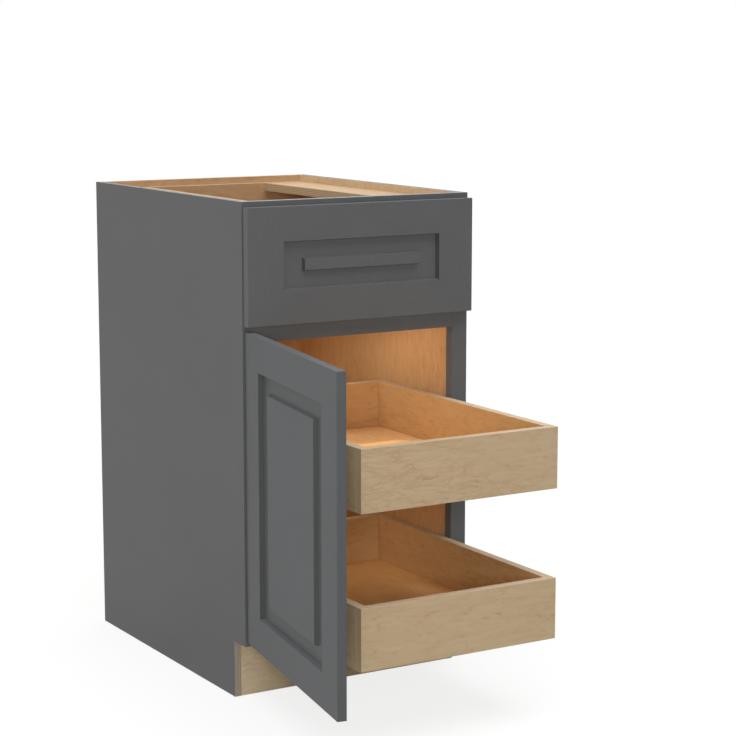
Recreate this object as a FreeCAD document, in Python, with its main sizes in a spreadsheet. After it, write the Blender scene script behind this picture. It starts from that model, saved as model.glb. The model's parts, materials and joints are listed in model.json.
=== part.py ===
import FreeCAD, Part
import math
import os
import re
import Sketcher

# Kitchen base cabinet, 18 in wide, with one drawer, one door and two roll-out trays.
# X runs to the right seen from the front, Y towards the wall, Z up, in millimetres.
# The origin lies on the floor, at the wall, halfway along the width.
# It stands as it is shown in use: door open, both trays pulled out, drawer shut.

SIZES = {
    # carcass of plywood panels
    "box_width": 457.2,
    "box_height": 876.3,
    "box_depth": 609.6,
    "side_thickness": 12.7,
    "back_thickness": 12.7,
    "floor_thickness": 12.7,
    "dado_depth": 6.35,
    "toe_height": 101.6,
    "toe_recess": 41.3,
    "toe_board_thickness": 12.7,
    # top braces and the nailing rail at the wall
    "brace_width": 88.9,
    "brace_thickness": 15.9,
    "brace_drop": 12.7,
    "nailer_height": 76.2,
    "nailer_thickness": 12.7,
    # face frame of solid wood
    "frame_thickness": 19.05,
    "stile_width": 31.75,
    "top_rail_height": 38.1,
    "middle_rail_height": 38.1,
    "bottom_rail_height": 25.4,
    "drawer_opening_height": 165.1,
    "tenon_length": 9.5,
    "tenon_thickness": 6.35,
    "tenon_shoulder": 4.8,
    "joint_play": 0.15,
    # door and drawer front, each a framed raised panel
    "front_thickness": 15.9,
    "front_gap": 2.5,
    "side_reveal": 1.6,
    "top_reveal": 8.8,
    "bottom_reveal": 8,
    "front_spacing": 9,
    "drawer_front_height": 203.2,
    "front_stile": 70,
    "front_rail": 60,
    "sticking_run": 2.5,
    "recess_depth": 9.2,
    "panel_plate": 4.2,
    "groove_depth": 8,
    "panel_play": 0.5,
    "panel_side_border": 37,
    "panel_end_border": 27,
    "field_setback": 2,
    "field_bevel": 2.5,
    # door hinges
    "door_open_angle": 100,
    "pin_inset": 7,
    "pin_depth": 9,
    "pin_radius": 1,
    "pin_play": 0.05,
    "pin_reach": 3,
    "knuckle_radius": 2,
    "hinge_inset": 76,
    "cup_radius": 17.5,
    "cup_depth": 12.5,
    "cup_edge": 3,
    "cup_play": 0.1,
    "cup_floor": 1,
    "cup_flange_radius": 19.5,
    "cup_flange_thickness": 1,
    "arm_height": 8,
    "arm_thickness": 2,
    "arm_play": 0.5,
    "hinge_plate_height": 45,
    "hinge_screw_spread": 15,
    "bumper_radius": 4,
    "bumper_thickness": 2.2,
    "bumper_inset": 14,
    # drawer box and roll-out trays
    "side_clearance": 4.75,
    "board_thickness": 15.9,
    "bottom_thickness": 6.35,
    "bottom_recess": 12.7,
    "bottom_groove": 6,
    "drawer_box_height": 90,
    "drawer_rear_room": 40.6,
    "drawer_lift": 12.9,
    "tray_height": 106,
    "tray_rear_room": 21.7,
    "tray_inset": 3.2,
    "tray_lift": 11.5,
    "upper_tray_share": 0.5364,
    "tray_pull": 337,
    # telescopic undermount slides, folded from sheet steel
    "slide_setback": 1,
    "slide_rear_room": 44.85,
    "slide_wall": 1.5,
    "slide_drop": 11,
    "flange_rise": 14,
    "channel_gap": 1.3,
    "channel_width": 20,
    "outer_web_drop": 2.5,
    "inner_web_drop": 1.5,
    "running_gap": 0.4,
    "cleat_height": 45,
    "cleat_drop": 14,
    # screws
    "screw_radius": 1.75,
    "screw_length": 16,
    "screw_play": 0.1,
    "pan_head_radius": 3.5,
    "pan_head_height": 1.8,
    "slide_screw_rise": 4,
    "slide_screw_inset": 64,
    "cleat_screw_radius": 2,
    "cleat_screw_length": 27,
    "cleat_head_radius": 4,
    "cleat_head_height": 2.5,
    "cleat_screw_rise": 24,
    "cleat_screw_inset": 110,
    "front_screw_length": 26,
    "front_screw_inset": 11,
    "front_screw_low": 36,
    "front_screw_high": 74,
    # knife insert in the drawer
    "insert_play": 1.5,
    "insert_base": 5,
    "slat_thickness": 13.5,
    "slat_height": 35,
    "slat_length": 285,
    "slat_round": 15,
    "insert_gap": 92,
    "insert_rail_thickness": 12.7,
    "insert_rail_height": 28,
}
SLAT_COUNT = 18

# Places and sizes worked out from the driving dimensions
DERIVED = {
    "half_width": "box_width / 2",
    "inner_half": "half_width - side_thickness",
    "opening_half": "half_width - stile_width",
    "front_plane": "0 - box_depth",
    "frame_back": "front_plane + frame_thickness",
    "toe_front": "front_plane + toe_recess",
    "floor_top": "toe_height + floor_thickness",
    "middle_rail_top": "box_height - top_rail_height - drawer_opening_height",
    "bottom_rail_top": "toe_height + bottom_rail_height",
    "brace_top": "box_height - brace_drop",
    "nailer_front": "0 - back_thickness - nailer_thickness",
    "front_width": "box_width - 2 * side_reveal",
    "front_left": "0 - front_width / 2",
    "front_back": "front_plane - front_gap",
    "drawer_front_bottom": "box_height - top_reveal - drawer_front_height",
    "door_bottom": "toe_height + bottom_reveal",
    "door_height": "drawer_front_bottom - front_spacing - door_bottom",
    "stick_reach": "front_stile + sticking_run",
    "rail_reach": "front_rail + sticking_run",
    "stile_groove": "stick_reach - groove_depth",
    "rail_groove": "rail_reach - groove_depth",
    "plate_back": "recess_depth + panel_plate",
    "pin_x": "front_left + pin_inset",
    "pin_y": "front_back - pin_depth",
    "cup_centre": "cup_edge + cup_radius",
    "plate_inner": "arm_thickness - opening_half",
    "box_half": "opening_half - side_clearance",
    "box_inner": "box_half - board_thickness",
    "groove_half": "box_inner + bottom_groove",
    "bottom_top": "bottom_recess + bottom_thickness",
    "drawer_base": "middle_rail_top + drawer_lift",
    "lower_base": "bottom_rail_top + tray_lift",
    "door_opening": "middle_rail_top - middle_rail_height - bottom_rail_top",
    "upper_base": "bottom_rail_top + upper_tray_share * door_opening",
    "drawer_box_rear": "0 - back_thickness - drawer_rear_room",
    "tray_front": "front_plane + tray_inset - tray_pull",
    "tray_rear": "0 - back_thickness - tray_rear_room - tray_pull",
    "slide_front": "frame_back + slide_setback",
    "slide_rear": "0 - back_thickness - slide_rear_room",
    "channel_start": "side_clearance + board_thickness + channel_gap",
    "channel_end": "channel_start + channel_width",
    "member_start": "channel_start + slide_wall + running_gap",
    "member_end": "channel_end - slide_wall - running_gap",
    "member_low": "slide_wall + running_gap - slide_drop",
    "member_high": "bottom_recess - slide_wall - running_gap",
    "insert_half": "box_inner - insert_play",
    "insert_front": "front_back + board_thickness + insert_play",
    "insert_rear": "drawer_box_rear - board_thickness - insert_play",
    "insert_floor": "drawer_base + bottom_top",
    "insert_top": "insert_floor + insert_base",
    "slat_front": "insert_rear - slat_length",
}

# One overrun serves every cut that has to pass right through a piece
OVERRUN = "front_gap"

doc = FreeCAD.newDocument("kitchen_base_cabinet")
sheet = doc.addObject("Spreadsheet::Sheet", "sheet")
for row, (alias, size) in enumerate(SIZES.items(), 1):
    sheet.set(f"A{row}", alias)
    sheet.set(f"B{row}", str(size))
    sheet.setAlias(f"B{row}", alias)
doc.recompute()

nodes = []
names = re.compile(r"[a-z][a-z0-9_]*")


def expand(text):
    """Turn words for sizes and places into an expression on the sheet's cells."""
    def swap(match):
        word = match.group(0)
        if word in SIZES:
            return "sheet." + word
        if word in DERIVED:
            return "(" + expand(DERIVED[word]) + ")"
        return word
    return names.sub(swap, text)


def bind(item, **texts):
    for name, text in texts.items():
        item.setExpression(name, expand(text))


def place(item, x="0", y="0", z="0"):
    for axis, text in zip("xyz", (x, y, z)):
        if text != "0":
            item.setExpression("Placement.Base." + axis, expand(text))
    return item


def node(label, item):
    """A finished piece, which gets a file of its own."""
    item.Label = label
    nodes.append(item)
    return item


def minus(text):
    return f"0 - ({text})"


# Primitives and booleans
def board(name, x, y, z):
    """A box between a low and a high place along each axis."""
    item = doc.addObject("Part::Box", name)
    bind(item, Length=f"({x[1]}) - ({x[0]})", Width=f"({y[1]}) - ({y[0]})", Height=f"({z[1]}) - ({z[0]})")
    return place(item, x[0], y[0], z[0])


def rod(name, axis, radius, length, x, y, z):
    """A cylinder that starts at a point and runs along one axis."""
    item = doc.addObject("Part::Cylinder", name)
    towards = {"x": FreeCAD.Vector(1, 0, 0), "y": FreeCAD.Vector(0, 1, 0), "z": FreeCAD.Vector(0, 0, 1)}
    turn = FreeCAD.Rotation(FreeCAD.Vector(0, 0, 1), towards[axis])
    item.Placement = FreeCAD.Placement(FreeCAD.Vector(), turn)
    bind(item, Radius=radius, Height=length)
    return place(item, x, y, z)


def group(name, items):
    item = doc.addObject("Part::Compound", name)
    item.Links = items
    return item


def join(name, items):
    item = doc.addObject("Part::MultiFuse", name)
    item.Shapes = items
    item.Refine = True
    return item


def cut(name, base, tools):
    item = doc.addObject("Part::Cut", name)
    item.Base = base
    item.Tool = tools[0] if len(tools) == 1 else group(name + "_tools", tools)
    return item


def mirror(name, item):
    """The same piece on the other side of the cabinet."""
    other = doc.addObject("Part::Mirroring", name)
    other.Source = item
    other.Normal = FreeCAD.Vector(1, 0, 0)
    other.Base = FreeCAD.Vector(0, 0, 0)
    return other


def pair(label, item):
    """Left and right piece of one kind, as two solids in one node."""
    return node(label, group(label, [item, mirror(label + "_right", item)]))


# Bodies, sketches and features
def new_body(name):
    return doc.addObject("PartDesign::Body", name)


def new_sketch(body, name, role, offset="0"):
    sketch = body.newObject("Sketcher::SketchObject", name)
    planes = [plane for plane in body.Origin.OriginFeatures if plane.Role == role]
    sketch.AttachmentSupport = [(planes[0], "")]
    sketch.MapMode = "FlatFace"
    if offset != "0":
        sketch.setExpression("AttachmentOffset.Base.z", expand(offset))
    return sketch


def fix_point(sketch, index, point, x, y, start):
    """Tie one point of the sketch to its two coordinates."""
    for kind, text, value, axis in (("DistanceX", x, start.x, -2), ("DistanceY", y, start.y, -1)):
        if text == "0":
            sketch.addConstraint(Sketcher.Constraint("PointOnObject", index, point, axis))
        else:
            number = sketch.addConstraint(Sketcher.Constraint(kind, -1, 1, index, point, value))
            sketch.setExpression(f"Constraints[{number}]", expand(text))


def outline(sketch, points):
    """A closed polygon whose corners are given as sizes."""
    first = sketch.GeometryCount
    count = len(points)
    start = []
    for step in range(count):
        turn = 2 * math.pi * step / count
        start.append(FreeCAD.Vector(math.cos(turn), math.sin(turn), 0))
    for step in range(count):
        sketch.addGeometry(Part.LineSegment(start[step], start[(step + 1) % count]), False)
    for step in range(count):
        following = first + (step + 1) % count
        sketch.addConstraint(Sketcher.Constraint("Coincident", first + step, 2, following, 1))
    for step, (x, y) in enumerate(points):
        fix_point(sketch, first + step, 1, x, y, start[step])


def circle(sketch, x, y, radius):
    start = FreeCAD.Vector(1, 1, 0)
    index = sketch.addGeometry(Part.Circle(start, FreeCAD.Vector(0, 0, 1), 1), False)
    fix_point(sketch, index, 3, x, y, start)
    number = sketch.addConstraint(Sketcher.Constraint("Radius", index, 1))
    sketch.setExpression(f"Constraints[{number}]", expand(radius))


def rectangle(sketch, x, y):
    outline(sketch, [(x[0], y[0]), (x[1], y[0]), (x[1], y[1]), (x[0], y[1])])


def pad(body, sketch, length, backwards=False):
    item = body.newObject("PartDesign::Pad", sketch.Name + "_pad")
    item.Profile = sketch
    item.Reversed = backwards
    bind(item, Length=length)
    sketch.Visibility = False
    return item


def pocket(body, sketch, length=None, backwards=False):
    item = body.newObject("PartDesign::Pocket", sketch.Name + "_pocket")
    item.Profile = sketch
    item.Reversed = backwards
    if length is None:
        item.Type = "ThroughAll"
    else:
        bind(item, Length=length)
    sketch.Visibility = False
    return item


# Screws
def pan_screw(name, seat, y, z):
    """A pan head screw that points left, its head lying on the surface at seat."""
    head = rod(name + "_head", "x", "pan_head_radius", "pan_head_height", seat, y, z)
    shank = rod(name + "_shank", "x", "screw_radius", "screw_length", f"{seat} - screw_length", y, z)
    return join(name, [head, shank])


def pan_hole(name, seat, y, z):
    reach = f"screw_length + {OVERRUN}"
    return rod(name, "x", "screw_radius + screw_play", f"{reach} + {OVERRUN}", f"{seat} - ({reach})", y, z)


# Carcass
def side_panel(label, left):
    """Plywood side, notched at the toe, dadoed for the floor and rabbeted for the back."""
    body = new_body(label)
    sheet_outline = new_sketch(body, label + "_outline", "YZ_Plane")
    outline(sheet_outline, [
        ("0", "0"),
        ("0", "box_height"),
        ("frame_back", "box_height"),
        ("frame_back", "toe_height"),
        ("toe_front", "toe_height"),
        ("toe_front", "0"),
    ])
    pad(body, sheet_outline, "side_thickness")
    inner = "side_thickness" if left else "0"
    dado = new_sketch(body, label + "_dado", "YZ_Plane", inner)
    rectangle(dado, ("frame_back", "0"), ("toe_height", "floor_top"))
    pocket(body, dado, "dado_depth", not left)
    rabbet = new_sketch(body, label + "_rabbet", "YZ_Plane", inner)
    rectangle(rabbet, (minus("back_thickness"), "0"), ("0", "box_height"))
    pocket(body, rabbet, "dado_depth", not left)
    return place(body, minus("half_width") if left else "inner_half")


def carcass(cleat_holes):
    node("left_side_panel", cut("left_side_panel", side_panel("left_side_body", True), cleat_holes))
    mirrored_holes = [mirror(hole.Name + "_right", hole) for hole in cleat_holes]
    node("right_side_panel", cut("right_side_panel", side_panel("right_side_body", False), mirrored_holes))
    housed = "inner_half + dado_depth"
    between = (minus("inner_half"), "inner_half")
    wide = (minus(housed), housed)
    node("back_panel", board("back_panel", wide, (minus("back_thickness"), "0"), ("0", "box_height")))
    floor = board("bottom_panel", wide, ("frame_back", minus("back_thickness")), ("toe_height", "floor_top"))
    node("bottom_panel", floor)
    toe = ("toe_front", "toe_front + toe_board_thickness")
    node("toe_board", board("toe_board", between, toe, ("0", "toe_height")))
    nailer = ("nailer_front", minus("back_thickness"))
    nailer_span = ("brace_top - nailer_height", "brace_top")
    node("back_nailer", board("back_nailer", between, nailer, nailer_span))
    run = ("frame_back", "nailer_front")
    lift = ("brace_top - brace_thickness", "brace_top")
    left = board("left_top_brace", (minus("inner_half"), "brace_width - inner_half"), run, lift)
    right = board("right_top_brace", ("inner_half - brace_width", "inner_half"), run, lift)
    node("left_top_brace", left)
    node("right_top_brace", right)


# Face frame
def frame_rail(label, low, high):
    """A rail with a tenon on each end, and the mortise tools that its stiles need."""
    between = (minus("opening_half"), "opening_half")
    rail = board(label + "_board", between, ("front_plane", "frame_back"), (low, high))
    reach = "opening_half + tenon_length"
    middle = "front_plane + frame_thickness / 2"
    thick = (f"{middle} - tenon_thickness / 2", f"{middle} + tenon_thickness / 2")
    tall = (f"{low} + tenon_shoulder", f"{high} - tenon_shoulder")
    tenon = board(label + "_tenon", (minus(reach), reach), thick, tall)
    node(label, join(label, [rail, tenon]))
    roomy = f"{reach} + joint_play"
    return board(
        label + "_mortise",
        (minus(roomy), roomy),
        (f"{thick[0]} - joint_play", f"{thick[1]} + joint_play"),
        (f"{tall[0]} - joint_play", f"{tall[1]} + joint_play"),
    )


def face_frame(hinge_holes):
    mortises = [
        frame_rail("top_rail", "box_height - top_rail_height", "box_height"),
        frame_rail("middle_rail", "middle_rail_top - middle_rail_height", "middle_rail_top"),
        frame_rail("bottom_rail", "toe_height", "bottom_rail_top"),
    ]
    deep = ("front_plane", "frame_back")
    tall = ("toe_height", "box_height")
    left = board("left_stile_board", (minus("half_width"), minus("opening_half")), deep, tall)
    right = board("right_stile_board", ("opening_half", "half_width"), deep, tall)
    node("left_stile", cut("left_stile", left, mortises + hinge_holes))
    node("right_stile", cut("right_stile", right, mortises))


# Door and drawer front
def stile_section(width, left):
    """Section of a stile: square outer edge, bevelled inner edge, groove for the panel."""
    corners = [
        ("0", "0"),
        ("front_stile", "0"),
        ("stick_reach", "recess_depth"),
        ("stile_groove", "recess_depth"),
        ("stile_groove", "plate_back"),
        ("stick_reach", "plate_back"),
        ("stick_reach", "front_thickness"),
        ("0", "front_thickness"),
    ]
    if left:
        return corners
    return [(f"{width} - ({x})", y) for x, y in corners]


def rail_section(height, low):
    corners = [
        ("0", "0"),
        ("0", "front_rail"),
        ("recess_depth", "rail_reach"),
        ("recess_depth", "rail_groove"),
        ("plate_back", "rail_groove"),
        ("plate_back", "rail_reach"),
        ("front_thickness", "rail_reach"),
        ("front_thickness", "0"),
    ]
    if low:
        return corners
    return [(y, f"{height} - ({z})") for y, z in corners]


def framed_front(prefix, width, height, put, bores=()):
    """Two stiles, two coped rails and a raised panel, in a frame of their own:
    x across from the left edge, y from the outer face back, z up from the lower edge."""
    for side in ("left", "right"):
        label = f"{prefix}_{side}_stile"
        body = new_body(label)
        section = new_sketch(body, label + "_section", "XY_Plane")
        outline(section, stile_section(width, side == "left"))
        pad(body, section, height)
        for number, (bore_side, radius, depth, places) in enumerate(bores):
            if bore_side != side:
                continue
            drilled = new_sketch(body, f"{label}_bores_{number}", "XZ_Plane", minus("front_thickness"))
            for x, z in places:
                circle(drilled, x, z, radius)
            pocket(body, drilled, depth, True)
        node(label, put(body))
    for end in ("bottom", "top"):
        label = f"{prefix}_{end}_rail"
        body = new_body(label)
        section = new_sketch(body, label + "_section", "YZ_Plane", "stile_groove")
        outline(section, rail_section(height, end == "bottom"))
        pad(body, section, f"{width} - 2 * stile_groove")
        coped = new_sketch(body, label + "_coping", "XY_Plane")
        outline(coped, stile_section(width, True))
        outline(coped, stile_section(width, False))
        pocket(body, coped, None, True)
        node(label, put(body))
    label = f"{prefix}_panel"
    body = new_body(label)
    plate = new_sketch(body, label + "_plate", "XZ_Plane", minus("plate_back"))
    across = ("stile_groove + panel_play", f"{width} - stile_groove - panel_play")
    rectangle(plate, across, ("rail_groove + panel_play", f"{height} - rail_groove - panel_play"))
    pad(body, plate, "panel_plate")
    field = new_sketch(body, label + "_field", "XZ_Plane", minus("recess_depth"))
    wide = ("stick_reach + panel_side_border", f"{width} - stick_reach - panel_side_border")
    tall = ("rail_reach + panel_end_border", f"{height} - rail_reach - panel_end_border")
    rectangle(field, wide, tall)
    raised = pad(body, field, "recess_depth - field_setback")
    raised.setExpression("TaperAngle", expand("0 deg - atan(field_bevel / (recess_depth - field_setback))"))
    node(label, put(body))


# The front screws bite into the stiles of the drawer front
FRONT_SCREWS = [
    (f"{side} * (box_inner - front_screw_inset)", level)
    for side in ("-1", "1")
    for level in ("front_screw_low", "front_screw_high")
]


def put_drawer_front(item):
    return place(item, "front_left", "front_back - front_thickness", "drawer_front_bottom")


def drawer_front():
    bites = {"left": [], "right": []}
    for x, level in FRONT_SCREWS:
        side = "left" if x.startswith("-") else "right"
        bites[side].append((f"{x} - front_left", f"drawer_base + {level} - drawer_front_bottom"))
    depth = f"front_screw_length - board_thickness + {OVERRUN}"
    bores = [(side, "screw_radius + screw_play", depth, places) for side, places in bites.items()]
    framed_front("drawer_front", "front_width", "drawer_front_height", put_drawer_front, bores)


def put_door(item):
    """Swing a piece of the shut door about the hinge pins to the open angle."""
    item.Placement = FreeCAD.Placement(FreeCAD.Vector(), FreeCAD.Rotation(FreeCAD.Vector(0, 0, -1), 1))
    item.setExpression("Placement.Rotation.Angle", expand("door_open_angle"))
    beside = "pin_inset * {}(door_open_angle)"
    behind = "(front_thickness - pin_depth) * {}(door_open_angle)"
    x = "pin_x - " + beside.format("cos") + " - " + behind.format("sin")
    y = "pin_y + " + beside.format("sin") + " - " + behind.format("cos")
    return place(item, x, y, "door_bottom")


HINGE_LEVELS = ["hinge_inset", "door_height - hinge_inset"]


def door():
    centres = [("cup_centre", level) for level in HINGE_LEVELS]
    bores = [("left", "cup_radius + cup_play", "cup_depth + cup_play", centres)]
    framed_front("door", "front_width", "door_height", put_door, bores)
    cups = []
    for number, level in enumerate(HINGE_LEVELS):
        name = f"cup_{number}"
        mouth = "front_thickness"
        well = rod(name + "_well", "y", "cup_radius", "cup_depth",
                   "cup_centre", f"{mouth} - cup_depth", level)
        flange = rod(name + "_flange", "y", "cup_flange_radius", "cup_flange_thickness",
                     "cup_centre", mouth, level)
        half = "(arm_height / 2 + arm_play)"
        slot = board(
            name + "_slot",
            (minus("cup_radius"), "cup_centre + cup_radius - 2 * cup_floor"),
            (f"{mouth} - cup_depth + cup_floor", f"{mouth} + {OVERRUN}"),
            (f"{level} - {half}", f"{level} + {half}"),
        )
        span = "(arm_height / 2 + pin_reach + arm_play)"
        hole = rod(name + "_pin_hole", "z", "pin_radius + pin_play", f"2 * {span}", "pin_inset",
                   f"{mouth} - pin_depth", f"{level} - {span}")
        cups.append(cut(name, join(name + "_body", [well, flange]), [slot, hole]))
    node("hinge_cups", put_door(group("hinge_cups", cups)))
    bumpers = []
    for number, level in enumerate(["bumper_inset", "door_height - bumper_inset"]):
        bumpers.append(rod(f"bumper_{number}", "y", "bumper_radius", "bumper_thickness",
                           "front_width - bumper_inset", "front_thickness", level))
    node("door_bumpers", put_door(group("door_bumpers", bumpers)))


def hinge_arms_and_plates():
    """Cranked arms that carry the pins, and the plates that hold them on the stile's edge."""
    arms = []
    plates = []
    screws = []
    holes = []
    edge = minus("opening_half")
    for number, level in enumerate(HINGE_LEVELS):
        z = f"door_bottom + {level}"
        tall = (f"{z} - arm_height / 2", f"{z} + arm_height / 2")
        half = "arm_thickness / 2"
        name = f"arm_{number}"
        reach = board(name + "_reach", ("pin_x", "plate_inner"), (f"pin_y - {half}", f"pin_y + {half}"), tall)
        crank = board(name + "_crank", (edge, "plate_inner"), (f"pin_y - {half}", "front_plane"), tall)
        knuckle = rod(name + "_knuckle", "z", "knuckle_radius", "arm_height", "pin_x", "pin_y", tall[0])
        length = "arm_height + 2 * pin_reach"
        pin = rod(name + "_pin", "z", "pin_radius", length, "pin_x", "pin_y", f"{tall[0]} - pin_reach")
        arms.append(join(name, [reach, crank, knuckle, pin]))
        flat = (f"{z} - hinge_plate_height / 2", f"{z} + hinge_plate_height / 2")
        plate = board(f"plate_{number}_blank", (edge, "plate_inner"), ("front_plane", "frame_back"), flat)
        drilled = []
        for side in ("-1", "1"):
            y = "front_plane + frame_thickness / 2"
            spot = f"{z} + {side} * hinge_screw_spread"
            tag = f"hinge_screw_{number}{'a' if side == '-1' else 'b'}"
            screws.append(pan_screw(tag, "plate_inner", y, spot))
            drilled.append(pan_hole(tag + "_hole", "plate_inner", y, spot))
        plates.append(cut(f"plate_{number}", plate, drilled))
        holes += drilled
    node("hinge_arms", group("hinge_arms", arms))
    node("hinge_plates", group("hinge_plates", plates))
    return screws, holes


# Drawer box and trays
def open_box(prefix, front, rear, base, height, front_tools=()):
    """Front and sides grooved for the bottom, with a back that stands on the bottom."""
    front_rear = f"{front} + board_thickness"
    low = f"{base} + bottom_recess"
    high = f"{base} + bottom_top"
    tall = (base, f"{base} + {height}")
    groove = board(
        prefix + "_groove",
        (minus("groove_half"), "groove_half"),
        (f"{front_rear} - bottom_groove", f"{rear} + {OVERRUN}"),
        (low, high),
    )
    face = board(prefix + "_front_board", (minus("box_half"), "box_half"), (front, front_rear), tall)
    node(prefix + "_front", cut(prefix + "_front", face, [groove] + list(front_tools)))
    for side, x in (("left", (minus("box_half"), minus("box_inner"))), ("right", ("box_inner", "box_half"))):
        blank = board(f"{prefix}_{side}_board", x, (front_rear, rear), tall)
        node(f"{prefix}_{side}", cut(f"{prefix}_{side}", blank, [groove]))
    inside = (minus("box_inner"), "box_inner")
    back = board(prefix + "_back", inside, (f"{rear} - board_thickness", rear), (high, tall[1]))
    node(prefix + "_back", back)
    floor = (f"{front_rear} - bottom_groove", rear)
    bottom = board(prefix + "_bottom", (minus("groove_half"), "groove_half"), floor, (low, high))
    node(prefix + "_bottom", bottom)


def slides(prefix, base, pulled):
    """Left and right slide in three telescopic members, with the cleats that carry them.
    The outer member is fixed, the inner one moves with the box, the middle one half as far."""
    def from_edge(x):
        return f"{x} - opening_half"

    def drawn(name, rings, shift):
        body = new_body(name)
        section = new_sketch(body, name + "_section", "XZ_Plane")
        for ring in rings:
            outline(section, [(from_edge(x), z) for x, z in ring])
        pad(body, section, "slide_rear - slide_front")
        return place(body, "0", f"slide_rear - {shift}", base)

    low = minus("slide_drop")
    shelf = "slide_wall - slide_drop"
    lip = minus("outer_web_drop")
    outer = drawn(prefix + "_outer_section", [[
        ("0", low),
        ("channel_end", low),
        ("channel_end", lip),
        ("channel_end - slide_wall", lip),
        ("channel_end - slide_wall", shelf),
        ("channel_start + slide_wall", shelf),
        ("channel_start + slide_wall", lip),
        ("channel_start", lip),
        ("channel_start", shelf),
        ("slide_wall", shelf),
        ("slide_wall", "flange_rise"),
        ("0", "flange_rise"),
    ]], "0")
    middle = drawn(prefix + "_middle_section", [
        [
            ("member_start", "member_low"),
            ("member_end", "member_low"),
            ("member_end", "member_high"),
            ("member_start", "member_high"),
        ],
        [
            ("member_start + slide_wall", "member_low + slide_wall"),
            ("member_end - slide_wall", "member_low + slide_wall"),
            ("member_end - slide_wall", "member_high - slide_wall"),
            ("member_start + slide_wall", "member_high - slide_wall"),
        ],
    ], f"{pulled} / 2")
    hem = minus("inner_web_drop")
    crown = "bottom_recess - slide_wall"
    inner = drawn(prefix + "_inner_section", [[
        ("channel_start", hem),
        ("channel_start + slide_wall", hem),
        ("channel_start + slide_wall", crown),
        ("channel_end - slide_wall", crown),
        ("channel_end - slide_wall", hem),
        ("channel_end", hem),
        ("channel_end", "bottom_recess"),
        ("channel_start", "bottom_recess"),
    ]], pulled)

    seat = "slide_wall - opening_half"
    rise = f"{base} + slide_screw_rise"
    screws = []
    holes = []
    for end, y in (("front", "slide_front + slide_screw_inset"), ("rear", "slide_rear - slide_screw_inset")):
        name = f"{prefix}_slide_screw_{end}"
        screws.append(pan_screw(name, seat, y, rise))
        holes.append(pan_hole(name + "_hole", seat, y, rise))

    face = minus("opening_half")
    level = f"{base} + cleat_screw_rise"
    cleat_screws = []
    cleat_holes = []
    rear = "0 - back_thickness - cleat_screw_inset"
    for end, y in (("front", "frame_back + cleat_screw_inset"), ("rear", rear)):
        name = f"{prefix}_cleat_screw_{end}"
        shank_start = f"{face} - cleat_screw_length"
        shank = rod(name + "_shank", "x", "cleat_screw_radius", "cleat_screw_length", shank_start, y, level)
        head_start = f"{face} - cleat_head_height"
        head = rod(name + "_head", "x", "cleat_head_radius", "cleat_head_height", head_start, y, level)
        cleat_screws.append(join(name, [shank, head]))
        deep = "cleat_screw_length + screw_play"
        bore = rod(name + "_bore", "x", "cleat_screw_radius + screw_play", deep,
                   f"{face} - ({deep})", y, level)
        sink = rod(name + "_sink", "x", "cleat_head_radius + screw_play", f"cleat_head_height + {OVERRUN}",
                   head_start, y, level)
        cleat_holes += [bore, sink]

    cleat_low = f"{base} - cleat_drop"
    blank = board(
        prefix + "_cleat_board",
        (minus("inner_half"), face),
        ("frame_back", minus("back_thickness")),
        (cleat_low, f"{cleat_low} + cleat_height"),
    )
    pair(prefix + "_slide_cleats", cut(prefix + "_cleat", blank, holes + cleat_holes))
    pair(prefix + "_outer_rails", cut(prefix + "_outer_rail", outer, holes))
    pair(prefix + "_middle_rails", middle)
    pair(prefix + "_inner_rails", inner)
    return screws, cleat_screws, cleat_holes


def drawer_screws():
    """Four screws hold the drawer front on the box, from the inside."""
    seat = "front_back + board_thickness"
    screws = []
    holes = []
    for number, (x, level) in enumerate(FRONT_SCREWS):
        name = f"front_screw_{number}"
        z = f"drawer_base + {level}"
        head = rod(name + "_head", "y", "pan_head_radius", "pan_head_height", x, seat, z)
        shank = rod(name + "_shank", "y", "screw_radius", "front_screw_length",
                    x, f"{seat} - front_screw_length", z)
        screws.append(join(name, [head, shank]))
        through = f"board_thickness + 2 * {OVERRUN}"
        hole = rod(name + "_hole", "y", "screw_radius + screw_play", through, x, f"front_back - {OVERRUN}", z)
        holes.append(hole)
    node("drawer_front_screws", group("drawer_front_screws", screws))
    return holes


# Knife insert
def knife_insert():
    """A thin base, a block slotted right through into slats, and a rail for the handles."""
    full = (minus("insert_half"), "insert_half")
    base = board("insert_base", full, ("insert_front", "insert_rear"), ("insert_floor", "insert_top"))
    node("insert_base_board", base)
    body = new_body("insert_block")
    profile = new_sketch(body, "insert_block_profile", "YZ_Plane")
    rectangle(profile, ("slat_front", "insert_rear"), ("0", "slat_height"))
    block = pad(body, profile, "2 * insert_half")
    doc.recompute()
    # the edge whose middle lies highest and furthest to the front
    middles = [edge.CenterOfMass for edge in block.Shape.Edges]
    top_front = max(range(len(middles)), key=lambda number: middles[number].z - middles[number].y)
    rounded = body.newObject("PartDesign::Fillet", "insert_block_round")
    rounded.Base = (block, [f"Edge{top_front + 1}"])
    bind(rounded, Radius="slat_round")
    place(body, minus("insert_half"), "0", "insert_top")
    gap = f"((2 * insert_half - {SLAT_COUNT} * slat_thickness) / {SLAT_COUNT - 1})"
    slots = []
    for number in range(1, SLAT_COUNT):
        start = f"{number} * (slat_thickness + {gap}) - {gap} - insert_half"
        slots.append(board(
            f"knife_slot_{number}",
            (start, f"{start} + {gap}"),
            (f"slat_front - {OVERRUN}", f"insert_rear + {OVERRUN}"),
            (f"insert_top - {OVERRUN}", f"insert_top + slat_height + {OVERRUN}"),
        ))
    node("insert_slats", cut("insert_slats", body, slots))
    rear = "slat_front - insert_gap"
    rail = board("insert_rail", full, (f"{rear} - insert_rail_thickness", rear),
                 ("insert_top", "insert_top + insert_rail_height"))
    node("insert_rail", rail)


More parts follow.
